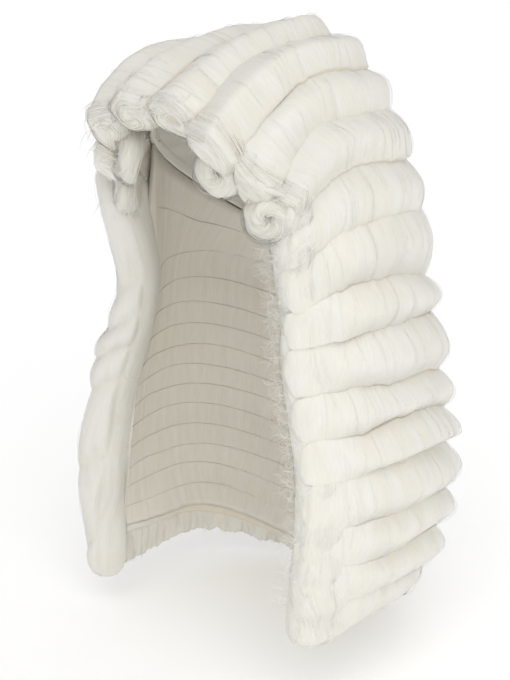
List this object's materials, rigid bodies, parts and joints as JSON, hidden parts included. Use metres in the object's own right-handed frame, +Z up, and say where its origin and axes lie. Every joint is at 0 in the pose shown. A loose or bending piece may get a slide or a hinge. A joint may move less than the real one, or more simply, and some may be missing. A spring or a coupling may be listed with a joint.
{
  "type": "judge wig",
  "caption": "Full-bottomed judge wig of pale hair in level rolls, with a parted crown, temple curls and long lappets, open at the face and hollow for the head.",
  "frame": {"origin": "where the top of the head meets the inside of the cap", "axes": "+Z up, the face looks along -Y, the wearer's left is +X"},
  "size_m": [0.294, 0.2689, 0.4742],
  "materials": {
    "hair": "off-white fibre hair, softly shining strands",
    "net": "cream net cap and backing with sewn rows of hair"
  },
  "bodies": {
    "root": {"cap": "net", "curtain": "net", "crown_roll_left": "hair", "crown_roll_right": "hair", "roll_02": "hair", "roll_03": "hair", "roll_04": "hair", "roll_05": "hair", "roll_06": "hair", "roll_07": "hair", "roll_08": "hair", "roll_09": "hair", "roll_10": "hair", "roll_11": "hair", "roll_12": "hair", "roll_13": "hair", "roll_14": "hair", "temple_curl_left_1": "hair", "temple_curl_left_2": "hair", "temple_curl_right_1": "hair", "temple_curl_right_2": "hair", "front_lock_left": "hair", "front_lock_right": "hair", "hem_fringe": "hair"}
  },
  "joints": []
}
